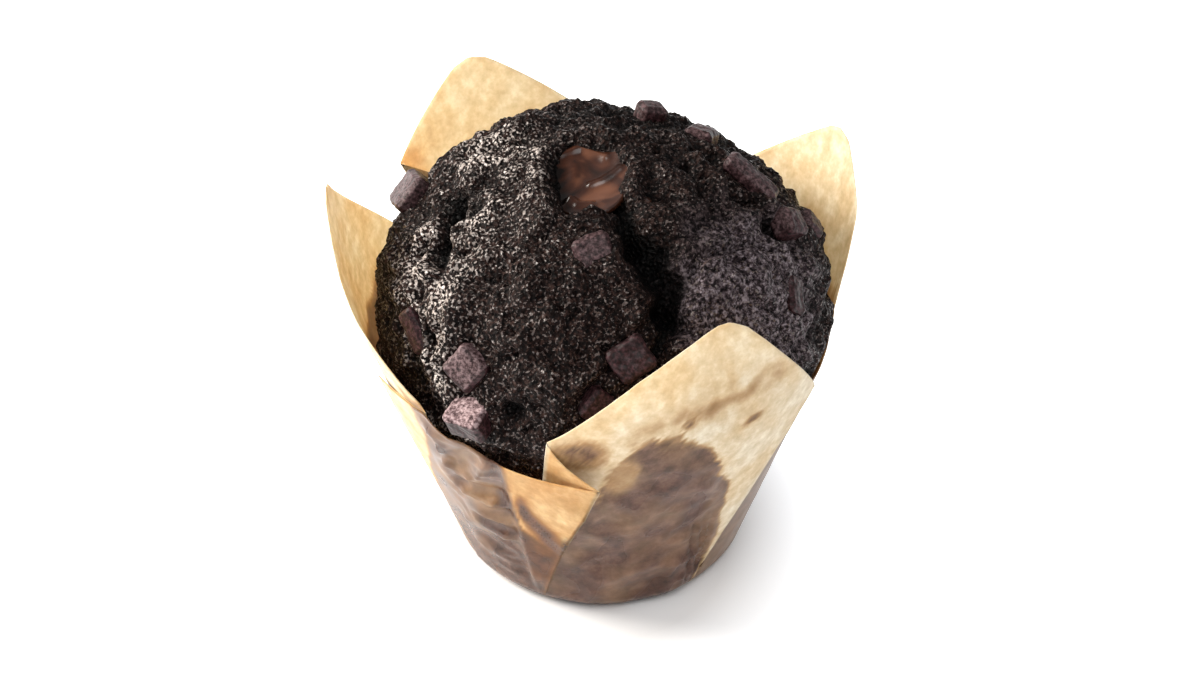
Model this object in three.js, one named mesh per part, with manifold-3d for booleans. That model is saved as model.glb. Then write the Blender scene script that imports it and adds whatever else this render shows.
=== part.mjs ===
// A double chocolate muffin in a tulip cup: a domed cake baked in a square of brown parchment
// that a die has pressed into a flared cup, with chocolate chunks set in its top and a crater of
// melted chocolate. Units are millimetres, +Z is up, the origin is the centre of the cup's base on
// the table, and the front of the muffin faces -Y. Angles are degrees, anticlockwise from +X.
import * as THREE from "three";
import Module from "manifold-3d";
import { ConvexGeometry } from "three/addons/geometries/ConvexGeometry.js";
import { mergeVertices } from "three/addons/utils/BufferGeometryUtils.js";

const wasm = await Module();
wasm.setup();

// ---------- Driving sizes ----------

// The cup, pressed from one square sheet.
const SHEET_SIDE = 141; // side of the flat square
const BASE_RADIUS = 25; // outside of the cup where it stands
const BASE_CORNER = 3; // round between floor and wall
const WALL_FLARE = 0.325; // outward lean of the wall for each millimetre of height
const PAPER_WALL = 0.6; // one thickness of the modelled wall
const FLAP_STEP = 0.9; // how far a pleat's flap stands proud of the panel that it covers
const FLAP_START = 8; // height over which a flap comes away from the wall

// The cake.
const CAKE_CLEARANCE = 0.4; // between the cake and the paper
const DOME_HEIGHT = 49; // of the dome's widest ring above the table
const DOME_RISE = 32.5; // from the widest ring to the crown
const DOME_GAP = 0.9; // between the widest ring and the side of the cake that the cup shaped
const DOME_SHIFT = 0.9; // the dome rose this much towards +X

// Chocolate.
const CHUNK_CLEARANCE = 0.3; // between a chunk and its pocket
const CHUNK_EDGE = 0.7; // softened edge of a chunk
const POOL_WIDTH = 11.5; // melted chocolate in the crater, across X
const POOL_LENGTH = 14.5; // and across Y
const POOL_THICKNESS = 3;
const CRATER_MARGIN = 1.5; // crust left open around the pool
const CRATER_DEPTH = 2.2; // from the dome down to the pool's middle
const DRIP_LENGTH = 5;
const DRIP_WIDTH = 2.4;

// Mesh fineness.
const WALL_ROWS = 10;
const COLUMN_DEGREES = 4.5; // widest column of the cup's wall
const CAKE_COLUMNS = 60;
const DOME_ROWS = 12;
const CAKE_WALL_ROWS = 3;
const CORNER_ROWS = 2;

const { degToRad, lerp, smoothstep, clamp } = THREE.MathUtils;

// ---------- The cup ----------

// Heights that the square sheet reaches on the flared wall: at the middle of a side and at a corner.
const slopeToHeight = Math.cos(Math.atan(WALL_FLARE));
const SIDE_HEIGHT = (SHEET_SIDE / 2 - BASE_RADIUS) * slopeToHeight;
const TIP_HEIGHT = (SHEET_SIDE / Math.SQRT2 - BASE_RADIUS) * slopeToHeight;

// The cup's edge all the way round, as [angle, share], where share 0 is the height that a side's
// middle reaches and 1 that of a corner. Four corners stand up as petals, with their tips rounded.
const rim = [
  [226, 0.04], [247, -0.04], [258, -0.05], [258.3, 0.3], [266, 0.51], [274, 0.71], [280, 0.82],
  [286, 0.88], [298, 0.97], [304, 0.97], [310, 0.81], [332, 0.1], [352, 0.08], [360, 0.17], [371, 0.68], [388, 0.98], [411, 0.48], [435, 0.13],
  [455, 0.62], [477, 1.03], [481, 1.03], [502, 0.57], [502.3, 0.24], [512, 0.24], [541, 1.1],
  [544, 1.1], [563, 0.48], [586, 0.04],
];

// Pleats take up the sheet's spare width. base and rim are the angles of a pleat's crease at the
// table and at a side's height, flap is the angle that its flap covers there, on the side that side
// says (1 past the crease, -1 before it), and top is the share at which the flap ends.
const pleats = [
  { base: 52, rim: 75, side: -1, flap: 15, top: 2 },
  { base: 118, rim: 142, side: -1, flap: 20, top: 2 },
  { base: 214, rim: 203, side: 1, flap: 22, top: 0.08 },
  { base: 247, rim: 270, side: -1, flap: 16, top: -0.06 },
  { base: 308, rim: 332, side: -1, flap: 20, top: 2 },
];
const CREASE = 0.15; // half width of a crease's edge, in degrees

// How far each petal leans out of the flared wall at a corner's height, at the petal's angle, and
// the spread in degrees either side over which the lean fades.
const leans = [
  { angle: 297, out: -9.5, spread: 44 },
  { angle: 182, out: -2.5, spread: 28 },
];

// The point at a radius, an angle in degrees and a height.
function around(r, angle, z) {
  return new THREE.Vector3(r * Math.cos(degToRad(angle)), r * Math.sin(degToRad(angle)), z);
}

// y at x on a broken line of [x, y] points.
function along(points, x) {
  const i = clamp(points.findIndex((p) => p[0] >= x), 1, points.length - 1);
  const [[x0, y0], [x1, y1]] = [points[i - 1], points[i]];
  return lerp(y0, y1, clamp((x - x0) / (x1 - x0), 0, 1));
}

// Outside radius of the plain cup at a height: a round corner, then a straight flared wall.
function wallRadius(z) {
  const wall = BASE_RADIUS + WALL_FLARE * z;
  if (z >= BASE_CORNER) return wall;
  return wall - BASE_CORNER + Math.sqrt(BASE_CORNER ** 2 - (BASE_CORNER - z) ** 2);
}

// How far the petals bend out of the flared wall at a height and an angle.
function petalLean(z, angle) {
  const rise = clamp((z - SIDE_HEIGHT) / (TIP_HEIGHT - SIDE_HEIGHT), 0, 1.3) ** 2;
  return leans.reduce((sum, lean) => {
    const away = Math.abs(((angle - lean.angle + 540) % 360) - 180);
    return sum + lean.out * rise * (1 - smoothstep(away, 0, lean.spread));
  }, 0);
}

// How far the paper stands proud where a flap lies over it. It's most at the crease.
function flapStep(rimAngle, z) {
  const foot = smoothstep(z, BASE_CORNER, FLAP_START);
  return pleats.reduce((most, pleat) => {
    const into = pleat.side * (((rimAngle - pleat.rim + 540) % 360) - 180);
    if (into < 0 || into > pleat.flap) return most;
    const top = lerp(SIDE_HEIGHT, TIP_HEIGHT, pleat.top);
    const shown = foot * (1 - smoothstep(z, top - 1, top + 1));
    return Math.max(most, FLAP_STEP * shown * (1 - into / pleat.flap));
  }, 0);
}

// The wall's columns, each with its angle at the table and at the rim, and its height. They follow
// the creases, so they lean sideways up to a side's height and go straight up from there.
function wallColumns() {
  const creases = pleats.map((pleat) => [pleat.rim, pleat.base]);
  const round = [-360, 0, 360, 720].flatMap((t) => creases.map(([r, b]) => [r + t, b + t]));
  const kept = [
    ...rim.map(([angle]) => angle),
    ...creases.flatMap(([r]) => [r - CREASE, r + CREASE]),
  ].map((angle) => (angle < rim[0][0] ? angle + 360 : angle));
  const even = Array.from({ length: Math.floor(360 / COLUMN_DEGREES) }, (_, i) => {
    return rim[0][0] + i * COLUMN_DEGREES;
  }).filter((angle) => kept.every((k) => Math.abs(k - angle) > COLUMN_DEGREES / 2));
  const last = rim.at(-1)[0];
  return [...kept, ...even]
    .sort((a, b) => a - b)
    .filter((angle, i, all) => angle < last - CREASE / 2 && angle - all[i - 1] !== 0)
    .map((angle) => ({
      base: along(round, angle),
      rim: angle,
      height: lerp(SIDE_HEIGHT, TIP_HEIGHT, along(rim, angle)),
    }));
}

// Heights of a column's points: close together round the foot's corner, even up the wall.
function rowHeights(rim) {
  const foot = Array.from({ length: CORNER_ROWS }, (_, i) => {
    return BASE_CORNER * (1 - Math.cos((Math.PI / 2) * (i / CORNER_ROWS)));
  });
  const wall = Array.from({ length: WALL_ROWS }, (_, i) =>
    lerp(BASE_CORNER, rim, i / (WALL_ROWS - 1)),
  );
  return [...foot, ...wall];
}

// Point of a column in a row, that far in from the paper's outside.
function wallPoint(column, row, inset) {
  const z = lerp(inset, column.height, rowHeights(column.height)[row] / column.height);
  const angle = lerp(column.base, column.rim, Math.min(z / SIDE_HEIGHT, 1));
  const step = inset ? 0 : flapStep(column.rim, z);
  const r = wallRadius(Math.max(z - inset, 0)) - inset + step + petalLean(z, angle);
  return around(r, angle, z);
}

// A closed surface through rings of points, with a fan at each end. Each ring has as many points.
function closedSurface(rings) {
  const n = rings[0].length;
  const middle = (ring) =>
    ring.reduce((sum, p) => sum.add(p), new THREE.Vector3()).divideScalar(n);
  const points = [middle(rings[0]), ...rings.flat(), middle(rings.at(-1))];
  const index = [];
  for (let i = 0; i < n; i++) {
    const j = (i + 1) % n;
    index.push(0, 1 + j, 1 + i);
    for (let k = 0; k < rings.length - 1; k++) {
      const [a, b] = [1 + k * n + i, 1 + k * n + j];
      index.push(a, b, b + n, a, b + n, a + n);
    }
    const last = 1 + (rings.length - 1) * n;
    index.push(last + i, last + j, points.length - 1);
  }
  return new THREE.BufferGeometry().setFromPoints(points).setIndex(index);
}

// The cup as a shell: its inside lies thickness in from the paper's outside, its own outside lies
// padding further out than the paper's, and its rim stands rise above the paper's.
function cupGeometry(thickness, padding = 0, rise = 0) {
  const columns = wallColumns();
  const rows = Array.from({ length: CORNER_ROWS + WALL_ROWS }, (_, row) => row);
  const ring = (row, inset) => columns.map((column) => wallPoint(column, row, inset));
  const pad = (p) => p.add(new THREE.Vector3(p.x, p.y, 0).setLength(padding));
  const outside = rows.map((row) => ring(row, 0).map(pad));
  const inside = rows.map((row) => ring(row, thickness)).reverse();
  for (const p of [...outside.at(-1), ...inside[0]]) p.z += rise;
  return closedSurface([...outside, ...inside]);
}

// ---------- The cake ----------

// Broad swellings of the crust, each [longitude, latitude, height, spread in degrees]: the lobes
// that rose between the cracks, and the cracks as short negative swellings.
const swellings = [
  [249, 40, 1.3, 24],
  [316, 34, 1.3, 19],
  [200, 26, 1.0, 13],
  [355, 50, 1.6, 11],
  [45, 48, -1.5, 20],
  [110, 36, 1.0, 20],
  [150, 50, 0.9, 14],
  [302, 62, -1.6, 9],
  [293, 46, -2.0, 8],
  [286, 33, -1.4, 8],
  [190, 47, -1.6, 8],
  [80, 20, -1.0, 9],
  [135, 20, -1.0, 9],
  [20, 22, -1.0, 9],
];

const CAKE_INSET = PAPER_WALL + CAKE_CLEARANCE;
const DOME_RADIUS = wallRadius(DOME_HEIGHT) - CAKE_INSET - DOME_GAP;

// The direction of a longitude and latitude, as a unit vector.
function direction(longitude, latitude) {
  const [a, b] = [degToRad(longitude), degToRad(latitude)];
  return new THREE.Vector3(Math.cos(a) * Math.cos(b), Math.sin(a) * Math.cos(b), Math.sin(b));
}

const swellingFields = swellings.map(([longitude, latitude, height, spread]) => ({
  towards: direction(longitude, latitude),
  height,
  spread: degToRad(spread),
}));

// Sum of the swellings, each a bell that falls off with the angle from its middle.
function swelling(u) {
  return swellingFields.reduce(
    (sum, f) => sum + f.height * Math.exp(-((u.angleTo(f.towards) / f.spread) ** 2)),
    0,
  );
}

// A point of the dome's crust at a longitude and latitude, pressed in where the cup is closer.
function crustPoint(longitude, latitude) {
  const u = direction(longitude, latitude);
  const grown = swelling(u);
  const free = new THREE.Vector3(
    DOME_SHIFT + u.x * (DOME_RADIUS + grown),
    u.y * (DOME_RADIUS + grown),
    DOME_HEIGHT + u.z * (DOME_RISE + grown),
  );
  return insideCup(free);
}

// The dome's outward normal at a longitude and latitude, leaving out the swellings.
function domeNormal(longitude, latitude) {
  const u = direction(longitude, latitude);
  return new THREE.Vector3(u.x / DOME_RADIUS, u.y / DOME_RADIUS, u.z / DOME_RISE).normalize();
}

// Pulls a point in to the cake's side, which keeps its clearance from the paper.
function insideCup(p) {
  const angle = THREE.MathUtils.radToDeg(Math.atan2(p.y, p.x));
  const room = wallRadius(Math.max(p.z - CAKE_INSET, 0)) - CAKE_INSET + petalLean(p.z, angle);
  const r = Math.hypot(p.x, p.y);
  if (r > room) p.multiply(new THREE.Vector3(room / r, room / r, 1));
  return p;
}

function cakeGeometry() {
  const turn = 360 / CAKE_COLUMNS;
  const longitudes = Array.from({ length: CAKE_COLUMNS }, (_, i) => i * turn);
  const heights = [
    ...Array.from({ length: CORNER_ROWS }, (_, i) => {
      return CAKE_INSET + BASE_CORNER * (1 - Math.cos((Math.PI / 2) * (i / CORNER_ROWS)));
    }),
    ...Array.from({ length: CAKE_WALL_ROWS }, (_, i) =>
      lerp(CAKE_INSET + BASE_CORNER, DOME_HEIGHT, i / CAKE_WALL_ROWS),
    ),
  ];
  const side = heights.map((z) =>
    longitudes.map((a) => {
      const u = direction(a, 0).multiplyScalar(DOME_RADIUS);
      return insideCup(new THREE.Vector3(u.x + DOME_SHIFT, u.y, z));
    }),
  );
  const dome = Array.from({ length: DOME_ROWS }, (_, i) => {
    const latitude = (90 * i) / DOME_ROWS;
    return longitudes.map((a) => crustPoint(a, latitude));
  });
  return closedSurface([...side, ...dome]);
}

// ---------- Chocolate ----------

// Each chunk: longitude and latitude on the dome, size as [across, along, thick], turn about the
// dome's normal, tilt out of the surface, and how far its outer face stands above the crust.
const chunks = [
  { at: [66, 60], size: [4.8, 4.6, 4.2], turn: 20, tilt: 10, proud: 1.9 },
  { at: [37, 57], size: [5.8, 5, 4.2], turn: 65, tilt: -8, proud: 1.7 },
  { at: [0, 52], size: [4, 10.5, 3.2], turn: 70, tilt: 4, proud: 0.9 },
  { at: [352, 37.5], size: [5.2, 5, 4.5], turn: 30, tilt: 0, proud: 1.8 },
  { at: [3, 27.5], size: [4.8, 4.6, 4.5], turn: 10, tilt: 0, proud: 1.9 },
  { at: [333, 25], size: [4.2, 6.8, 3.6], turn: 12, tilt: -10, proud: 0.3 },
  { at: [165, 30], size: [7, 8.6, 6], turn: 20, tilt: 10, proud: 3 },
  { at: [211, 16], size: [4.2, 8, 3.6], turn: -8, tilt: 14, proud: 0.2 },
  { at: [233, 17], size: [6.6, 6.4, 4.5], turn: 24, tilt: 8, proud: 1.6 },
  { at: [236, 2], size: [7.2, 5.8, 5.2], turn: -26, tilt: -66, proud: 3.2 },
  { at: [264.5, 56.5], size: [6.4, 5.4, 4.4], turn: 22, tilt: 22, proud: 1.0 },
  { at: [277, 27], size: [6.8, 6.4, 4], turn: 38, tilt: -6, proud: 1.2 },
  { at: [268, 14], size: [6, 5, 4], turn: 55, tilt: 12, proud: 1.0 },
  { at: [88, 27], size: [7, 6.6, 5], turn: 35, tilt: 8, proud: 1.6 },
  { at: [122, 27], size: [6.4, 5.6, 4.5], turn: -20, tilt: 10, proud: 1.5 },
  { at: [136, 10], size: [6.6, 7.4, 4.5], turn: 50, tilt: -6, proud: 1.4 },
  { at: [66, 13], size: [7.4, 6, 4.5], turn: 12, tilt: 6, proud: 1.4 },
  { at: [40, 16], size: [6, 6.8, 4.5], turn: 60, tilt: -10, proud: 1.5 },
];

// Stands an object on the dome: local +Z along the normal, turned and tilted, sunk so that its
// outer face is proud of the crust.
function placeOnDome(object, { at, size, turn, tilt, proud }) {
  const normal = domeNormal(...at);
  const upright = new THREE.Quaternion().setFromUnitVectors(new THREE.Vector3(0, 0, 1), normal);
  const own = new THREE.Euler(degToRad(tilt), 0, degToRad(turn), "ZXY");
  object.quaternion.copy(upright).multiply(new THREE.Quaternion().setFromEuler(own));
  object.position.copy(crustPoint(...at)).addScaledVector(normal, proud - size[2] / 2);
  object.updateMatrix();
  return object;
}

// A block whose edges and corners are cut off by CHUNK_EDGE: the hull of three points per corner.
function chunkGeometry(size, grown = 0) {
  const half = size.map((s) => s / 2 + grown);
  const signs = [-1, 1];
  const corners = signs.flatMap((x) => signs.flatMap((y) => signs.map((z) => [x, y, z])));
  const points = corners.flatMap((corner) =>
    [0, 1, 2].map((kept) => {
      const at = corner.map((sign, i) => sign * (half[i] - (i === kept ? 0 : CHUNK_EDGE)));
      return new THREE.Vector3(...at);
    }),
  );
  return new ConvexGeometry(points);
}

// A flat-bottomed drop would show its underside in no view, so a pool is a plain squashed ball.
function dropGeometry([x, y, z], grown = 0) {
  const ball = new THREE.SphereGeometry(0.5, 16, 8);
  return ball.scale(x + 2 * grown, y + 2 * grown, z + 2 * grown);
}

const pool = {
  at: [240, 80], size: [POOL_WIDTH, POOL_LENGTH, POOL_THICKNESS], turn: 0, tilt: 0,
  proud: POOL_THICKNESS / 2 - CRATER_DEPTH,
};
const crater = {
  at: pool.at, turn: 0, tilt: 0, proud: CRATER_DEPTH,
  size: [POOL_WIDTH + 2 * CRATER_MARGIN, POOL_LENGTH + 2 * CRATER_MARGIN, 2 * CRATER_DEPTH],
};
const drip = {
  at: [298, 69], size: [DRIP_LENGTH, DRIP_WIDTH, DRIP_WIDTH], turn: 60, tilt: 0, proud: 0.4,
};

// ---------- Solids ----------

// A geometry under a matrix as a manifold-3d solid.
function toSolid(geometry, matrix = new THREE.Matrix4()) {
  const bare = geometry.clone().deleteAttribute("normal").deleteAttribute("uv");
  const merged = mergeVertices(bare.applyMatrix4(matrix), 1e-5);
  const solid = new wasm.Manifold(
    new wasm.Mesh({
      numProp: 3,
      vertProperties: new Float32Array(merged.attributes.position.array),
      triVerts: new Uint32Array(merged.index.array),
    }),
  );
  return solid;
}

function toGeometry(solid) {
  const { numProp, vertProperties, triVerts } = solid.getMesh();
  const points = [];
  for (let i = 0; i < vertProperties.length; i += numProp)
    points.push(new THREE.Vector3().fromArray(vertProperties, i));
  return new THREE.BufferGeometry().setFromPoints(points).setIndex([...triVerts]);
}

// The volume that a placed piece takes out of the cake, its clearance included.
function pocket(geometry, placement) {
  return toSolid(geometry, placeOnDome(new THREE.Object3D(), placement).matrix);
}

// A placed geometry less what would come closer to the paper than its clearance or go beyond it.
function clearOfPaper(geometry, placement) {
  const { matrix } = placeOnDome(new THREE.Object3D(), placement);
  const reach = Math.max(...placement.size);
  const paper = toSolid(cupGeometry(PAPER_WALL + CHUNK_CLEARANCE, reach, CHUNK_CLEARANCE));
  return toGeometry(toSolid(geometry, matrix).subtract(paper)).applyMatrix4(matrix.invert());
}

function cakeWithPockets() {
  let cake = toSolid(cakeGeometry());
  for (const c of chunks)
    cake = cake.subtract(pocket(chunkGeometry(c.size, CHUNK_CLEARANCE), c));
  cake = cake.subtract(pocket(dropGeometry(crater.size), crater));
  cake = cake.subtract(pocket(dropGeometry(pool.size, CHUNK_CLEARANCE), pool));
  cake = cake.subtract(pocket(dropGeometry(drip.size, CHUNK_CLEARANCE), drip));
  return toGeometry(cake);
}

// ---------- Materials and assembly ----------

const finish = (color, roughness) => new THREE.MeshStandardMaterial({ color, roughness });
const parchment = finish("#c79c66", 0.7);
const crumb = finish("#241715", 0.55);
const chocolate = finish("#3c2728", 0.5);
const meltedChocolate = finish("#4a2a20", 0.2);

function named(name, geometry, material) {
  const mesh = new THREE.Mesh(geometry, material);
  mesh.name = name;
  return mesh;
}

const muffin = new THREE.Group();
muffin.add(named("tulip_cup", cupGeometry(PAPER_WALL), parchment));
muffin.add(named("muffin_cake", cakeWithPockets(), crumb));
muffin.add(placeOnDome(named("melted_pool", dropGeometry(pool.size), meltedChocolate), pool));
muffin.add(placeOnDome(named("melted_drip", dropGeometry(drip.size), meltedChocolate), drip));
chunks.forEach((chunk, i) => {
  const name = `chocolate_chunk_${String(i + 1).padStart(2, "0")}`;
  const geometry = clearOfPaper(chunkGeometry(chunk.size), chunk);
  muffin.add(placeOnDome(named(name, geometry, chocolate), chunk));
});

export default muffin;
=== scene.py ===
"""A double chocolate muffin in a tulip cup, standing on a pale table in soft daylight.

The cup is one square of brown baking parchment, pressed by a die into a flared cup with five
pleats. The cake rose out of it as a cracked dome with chocolate chunks in its crust. The muffin's
lengths are in millimetres until a mesh is made; the camera's and the lights' are in metres. Angles
are degrees anticlockwise from +X, seen from above, and the front faces -Y.
"""

import bpy
import numpy as np
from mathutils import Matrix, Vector


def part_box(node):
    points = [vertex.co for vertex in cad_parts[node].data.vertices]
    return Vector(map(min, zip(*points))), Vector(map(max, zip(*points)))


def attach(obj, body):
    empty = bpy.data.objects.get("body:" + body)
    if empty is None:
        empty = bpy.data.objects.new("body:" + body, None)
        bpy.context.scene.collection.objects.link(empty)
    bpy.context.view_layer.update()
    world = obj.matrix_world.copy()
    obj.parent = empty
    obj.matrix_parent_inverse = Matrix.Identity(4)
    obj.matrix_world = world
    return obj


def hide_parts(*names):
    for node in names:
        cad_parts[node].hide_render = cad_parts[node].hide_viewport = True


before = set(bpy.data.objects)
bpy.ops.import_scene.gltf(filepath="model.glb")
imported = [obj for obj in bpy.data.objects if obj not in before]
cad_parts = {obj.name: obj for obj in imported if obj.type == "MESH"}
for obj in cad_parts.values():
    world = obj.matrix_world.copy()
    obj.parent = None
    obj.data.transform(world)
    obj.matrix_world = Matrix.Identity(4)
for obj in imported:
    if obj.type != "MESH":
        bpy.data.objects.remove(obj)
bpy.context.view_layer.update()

# ---------------------------------------------------------------- camera
# It looks down at the front of the muffin from half a metre away, through a portrait lens, and is
# aimed at the muffin's own axis, half way up.

VIEW_DISTANCE = 0.5
VIEW_ELEVATION = np.radians(38)
VIEW_HEIGHT = 0.0413  # of the point that it is aimed at, above the table
SENSOR_WIDTH = 36  # in millimetres, as the focal length is
FOCAL_LENGTH = 85.5

camera_data = bpy.data.cameras.new("camera")
camera_data.sensor_width = SENSOR_WIDTH
camera_data.lens = FOCAL_LENGTH
camera = bpy.data.objects.new("camera", camera_data)
bpy.context.scene.collection.objects.link(camera)
camera.location = (
    0,
    -VIEW_DISTANCE * np.cos(VIEW_ELEVATION),
    VIEW_HEIGHT + VIEW_DISTANCE * np.sin(VIEW_ELEVATION),
)
camera.rotation_euler = (np.pi / 2 - VIEW_ELEVATION, 0, 0)
bpy.context.scene.camera = camera

# ---------------------------------------------------------------- tulip cup
# One square of brown baking parchment, about 0.06 mm thick. A die folded it into a flared cup: the
# corners stand up as petals, the spare width lies in five pleats, and the cake's fat has soaked the
# paper dark wherever it lay against the batter.

MM = 0.001  # in metres
CUP_BASE_RADIUS = 25.1
CUP_CORNER = 3.0  # round between the floor and the wall
CUP_FLARE = 0.325  # outward lean of the wall for each millimetre of height
PAPER_THICKNESS = 0.16  # more than twice the real one, so that its cut edge shows
SIDE_HEIGHT = 43.3  # that the middle of the sheet's side reaches on the wall
TIP_HEIGHT = 71.0  # that its corner reaches
RIM_HEIGHT = 45.0  # at which the columns of the mesh are spaced out
WALL_SLANT = 60  # typical length up the wall, by which its rows are counted
SHEET_STEP = 0.8  # about how far the columns and rows are apart
NARROWEST = 6  # columns on the narrowest face
CORNER_ROWS = 5
FLOOR_RINGS = 4

# Fold lines up the wall: angle at the table, angle at the top, height of the top, and how far the
# fold stands off the wall there.
FOLDS = {
    "left_flap": (214, 203, 46, 1.0),
    "front_flap": (247, 270, 43, 3.0),
    "front_tuck": (247, 258, 51, 0.0),
    "right_flap": (308, 332, 46, 1.0),
    "right_tuck": (308, 312, 45, 0.0),
    "back_right_flap": (412, 435, 46.5, 1.0),
    "back_right_tuck": (412, 420, 46, 0.0),
    "back_left_flap": (478, 502, 59, 1.2),
    "back_left_tuck": (478, 482, 48, 0.0),
    "left_tuck": (574, 585, 48, 0.0),
}

FOOT_HEIGHT = 4  # in which a fold gains the first part of its distance from the wall
FOOT_SHARE = 0.25
FLAP_BOW = 0.0625  # of its swing, by which the front flap's fold bows to the right half way up

# The faces of the folded sheet in order round the cup: first fold, last fold, the angle at which
# each end's flap starts to leave the wall (None where the face lies under or between), and the
# sheet's edge as (angle, height) points from fold to fold. Odd faces are the hidden layers of the
# pleats.
FACES = [
    ("left_flap", "front_flap", 228, None,
     [(203, 46), (223, 47.4), (228, 45.6), (236, 44.1), (242, 42.9), (247, 42.6), (258, 42.8),
      (270, 43)]),
    ("front_flap", "front_tuck", None, None,
     [(258, 51), (260, 48.6), (262.5, 46.6), (266, 44.8), (270, 43)]),
    ("front_tuck", "right_flap", None, 303,
     [(258, 51.6), (262, 54.3), (266, 57.4), (270, 60.3), (274, 63), (278, 65.1), (286, 67.7),
      (294, 69.4), (299, 70.5), (302, 70.5), (306, 69), (310, 65.8), (318, 58.6), (332, 46)]),
    ("right_flap", "right_tuck", None, None, [(312, 45), (332, 46)]),
    ("right_tuck", "back_right_flap", None, 406,
     [(312, 45), (352, 45.5), (360, 48), (371, 62), (384, 69.6), (388, 70.4), (391, 69.6),
      (411, 56.7), (435, 46.5)]),
    ("back_right_flap", "back_right_tuck", None, None, [(420, 46), (435, 46.5)]),
    ("back_right_tuck", "back_left_flap", None, 472,
     [(420, 46), (435, 47), (455, 60.6), (475, 71.4), (479, 72.2), (483, 71), (502, 59)]),
    ("back_left_flap", "back_left_tuck", None, None, [(482, 48), (502, 59)]),
    ("back_left_tuck", "left_tuck", None, None,
     [(482, 48), (502, 50), (510, 50.5), (538, 73), (542, 74.4), (546, 73), (558, 61.5),
      (571, 57), (585, 48)]),
    ("left_tuck", "left_flap+", None, None, [(563, 46), (585, 48)]),
]

# The front flap is hinged along an upright crease at this angle, and along one that runs down to
# the right through these angles and heights. Below that the paper is pressed flat.
HINGE_ANGLE = 246.3
HINGE = [(246, 29.5), (247, 24.5), (253, 21), (259, 17.5), (262, 14)]
FLAP_STEP = 0.9  # that its fold stands off the wall where it is pressed flat
FLAP_STEP_HEIGHTS = (2, 10)  # between which it reaches that
FLAP_RISE = 22  # from the hinge to where the fold stands off the most
PRESSED_LIFT = 1  # most that the panel beside the flap stands off the wall

# How far petals bend out of the wall at the height of a corner: angle, distance, spread.
LEANS = [(297, -9.5, 44), (182, -2.5, 28)]

# How much warm light, bounced from the cake and paper and shining through the paper, is painted into
# each face's colour, and the front flap's, from 0 to 1.
PAINTED_WARM_LIGHT = [0.4, 0.8, 0.1, 0.8, 0.15, 0.8, 0.22, 0.8, 0.2, 0.8]
FLAP_PAINTED_WARM_LIGHT = 0.8

# The fat stains. The low panel's begins at these angles at heights, and the smear along its flap's
# hinge and the greasy band across the front petal run at these heights at angles. The front petal's
# stain ends at these heights at angles above, and at these angles at heights on the right.
PANEL_LEFT = [(0, 200), (12, 206), (27, 212.5), (38, 219.5)]
FLAP_SMEAR = [(247, 31.5), (250, 30), (253, 26), (257, 21.5), (262, 16.5)]
GREASY_BAND = [(272, 51.5), (280, 54.2), (288, 55.6), (300, 56.8), (312, 58.4)]
STAIN_TOP = [(258, 30), (266, 35.6), (271, 41.8), (275, 47.5), (279, 50.4), (286, 51), (300, 50)]
STAIN_RIGHT = [(0, 308), (5, 310), (13, 310.8), (24, 310), (30, 308), (38, 302.5), (46, 297),
               (51, 289)]
FLOOR_SOAK = 0.8

# Creases pressed into the right side of the front petal: their angles at the upper end.
CREASES = (300, 303.5, 306)


def noise(points, cell, seed):
    """Smooth noise from about -1 to 1. Each corner of a cubic lattice has a random unit vector. A
    point takes the dot products of its offsets from the eight corners round it with their vectors,
    weighted along each axis by the fade 6t^5 - 15t^4 + 10t^3. The last factor brings it to 1."""
    rng = np.random.default_rng(seed)
    size = 32
    vectors = rng.normal(size=(size, size, size, 3))
    vectors /= np.linalg.norm(vectors, axis=-1, keepdims=True)
    turn = np.linalg.qr(rng.normal(size=(3, 3)))[0]
    q = points @ turn / cell
    low = np.floor(q).astype(int)
    t = q - low
    fade = t**3 * (t * (6 * t - 15) + 10)
    total = np.zeros(len(points))
    for corner in np.ndindex(2, 2, 2):
        at = (low + corner) % size
        near = np.where(corner, fade, 1 - fade).prod(axis=1)
        offsets = t - corner
        total += near * np.einsum("ij,ij->i", vectors[at[:, 0], at[:, 1], at[:, 2]], offsets)
    return total * 1.7


def smooth_step(x, low, high):
    """0 below low, 1 above high, and 3t^2 - 2t^3 between."""
    t = np.clip((x - low) / (high - low), 0, 1)
    return t * t * (3 - 2 * t)


def smooth_bump(x, middle, spread):
    """1 at the middle, and e to the minus square of the distance from it in spreads elsewhere."""
    return np.exp(-(((x - middle) / spread) ** 2))


def curve(x, points):
    """The value at x on the straight stretches between (x, value) points, level beyond the ends."""
    return np.interp(x, *np.array(points, float).T)


def cup_radius(z):
    """Radius of the plain cup at a height: a quarter round of CUP_CORNER, then a straight wall."""
    below = np.clip(CUP_CORNER - z, 0, CUP_CORNER)
    return CUP_BASE_RADIUS + CUP_FLARE * z - CUP_CORNER + np.sqrt(CUP_CORNER**2 - below**2)


def petal_lean(angle, z):
    """How far a petal bends out of the wall: the sum over LEANS of distance * rise^2 * fade. The rise
    goes from 0 at SIDE_HEIGHT to 1 at TIP_HEIGHT, and the fade falls smoothly to 0 at the spread."""
    rise = np.clip((z - SIDE_HEIGHT) / (TIP_HEIGHT - SIDE_HEIGHT), 0, 1.3)
    total = np.zeros_like(z)
    for middle, distance, spread in LEANS:
        away = np.abs((angle - middle + 540) % 360 - 180)
        total += distance * rise**2 * (1 - smooth_step(away, 0, spread))
    return total


def fold_angle(name, z):
    """Angle of a fold at a height: foot + (top - foot) * (t + bow), where t is the share of its
    height and the front flap's bow is FLAP_BOW * 4t (1 - t). A name that ends in + is that fold one
    turn on."""
    foot, top, height, _ = FOLDS[name.rstrip("+")]
    t = z / height
    bow = FLAP_BOW * 4 * t * (1 - t) if name == "front_flap" else 0
    return foot + (top - foot) * (t + bow) + 360 * name.count("+")


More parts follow.
